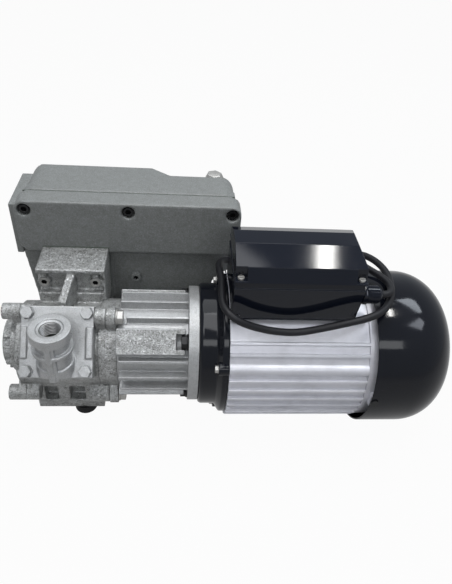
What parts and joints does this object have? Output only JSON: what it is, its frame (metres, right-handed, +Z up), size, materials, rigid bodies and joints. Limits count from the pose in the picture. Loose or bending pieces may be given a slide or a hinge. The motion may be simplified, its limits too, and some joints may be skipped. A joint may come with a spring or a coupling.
{
  "type": "rotary vane vacuum pump",
  "caption": "Direct-driven oil-lubricated rotary vane vacuum pump with flanged motor, oil box, tilted inlet flange and supply cable.",
  "frame": {"origin": "middle of the pump's footprint on the standing plane, without its cable", "axes": "+Z up, +X along the shaft from the pump to the motor's fan, +Y to the rear, where the oil box is"},
  "size_m": [0.452, 0.3084, 0.2276],
  "materials": {
    "cast_paint": "satin, slightly rough cast surface",
    "smooth_paint": "satin",
    "raw_aluminium": "extruded, unpainted",
    "black_paint": "gloss",
    "black_plastic": "gloss moulded",
    "zinc": "zinc plated",
    "black_oxide": "blackened",
    "steel": "ground",
    "iron": "machined",
    "black_rubber": "matt",
    "spider_rubber": "matt",
    "cable_jacket": "matt flexible sheath",
    "plug_plastic": "moulded",
    "gasket": "fibre gasket sheet",
    "filter_medium": "glass fibre fleece",
    "copper": "lacquered copper wire",
    "carbon": "carbon vane",
    "float_plastic": "moulded",
    "clear_glass": "clear",
    "capacitor_can": "drawn can",
    "fan_plastic": "moulded"
  },
  "bodies": {
    "pump_frame": {"oil_box_housing": "smooth_paint", "oil_box_cover": "smooth_paint", "box_gaskets": "gasket", "cover_screws": "black_oxide", "filter_cover": "smooth_paint", "filter_cover_screws": "zinc", "exhaust_filter": "filter_medium", "filler_plug": "zinc", "drain_plug": "zinc", "sight_glass": "clear_glass", "cylinder_housing": "cast_paint", "end_cover": "cast_paint", "end_cover_screws": "zinc", "drive_end_plate": "cast_paint", "drive_plate_bolts": "zinc", "pump_bearings": "steel", "shaft_seal": "black_rubber", "inlet_flange": "cast_paint", "inlet_gasket": "gasket", "inlet_flange_bolts": "cast_paint", "inlet_strainer": "steel", "valve_spring": "steel", "exhaust_leaf_stop": "steel", "block_screws": "zinc", "pump_foot": "black_rubber", "box_feet": "black_rubber", "motor_foot": "black_rubber", "lantern": "cast_paint", "lantern_screws": "zinc", "flange_bolts": "black_oxide", "motor_front_shield": "black_paint", "motor_frame": "raw_aluminium", "motor_rear_shield": "raw_aluminium", "tie_bolts": "zinc", "stator_core": "steel", "stator_windings": "copper", "motor_bearings": "steel", "fan_cowl": "black_paint", "cowl_screws": "black_oxide", "terminal_box_base": "black_plastic", "terminal_box_lid": "black_plastic", "lid_screws": "zinc", "cable_gland": "black_plastic", "run_capacitor": "capacitor_can", "power_cable": "cable_jacket", "cable_coil": "cable_jacket", "power_plug": "plug_plastic"},
    "rotating_group": {"pump_rotor": "iron", "pump_coupling_hub": "iron", "coupling_spider": "spider_rubber", "motor_coupling_hub": "iron", "motor_shaft": "steel", "motor_rotor": "raw_aluminium", "cooling_fan": "fan_plastic"},
    "vane_a": {"vane_1": "carbon"},
    "vane_b": {"vane_2": "carbon"},
    "vane_c": {"vane_3": "carbon"},
    "inlet_valve": {"valve_disc": "black_rubber"},
    "leaf_valve": {"exhaust_leaf": "steel"},
    "float_lever": {"float_arm": "float_plastic"}
  },
  "joints": [
    {"name": "rotor_spin", "type": "hinge", "parent": "pump_frame", "child": "rotating_group", "pos_m": [-0.031, -0.03085, 0.088], "axis": [1, 0, 0], "continuous": true},
    {"name": "vane_1_slide", "type": "slide", "parent": "rotating_group", "child": "vane_a", "axis": [0, -1, 0], "range_m": [0, 0.0044]},
    {"name": "vane_2_slide", "type": "slide", "parent": "rotating_group", "child": "vane_b", "axis": [0, 0.5, -0.866], "range_m": [0, 0.0005]},
    {"name": "vane_3_slide", "type": "slide", "parent": "rotating_group", "child": "vane_c", "axis": [0, 0.5, 0.866], "range_m": [0, 0.0005]},
    {"name": "inlet_valve_lift", "type": "slide", "parent": "pump_frame", "child": "inlet_valve", "axis": [0, 0, -1], "range_m": [0, 0.008], "stiffness_N_per_m": 40, "springref_m": -0.006, "deforming": ["valve_spring"]},
    {"name": "exhaust_leaf_bend", "type": "hinge", "parent": "pump_frame", "child": "leaf_valve", "pos_m": [-0.1715, 0.00415, 0.13635], "axis": [0, -1, 0], "range_deg": [0, 10], "stiffness_Nm_per_rad": 0.02, "springref_deg": -2.86},
    {"name": "float_swing", "type": "hinge", "parent": "pump_frame", "child": "float_lever", "pos_m": [-0.067, 0.07815, 0.056], "axis": [0, 1, 0], "range_deg": [0, 20]}
  ]
}
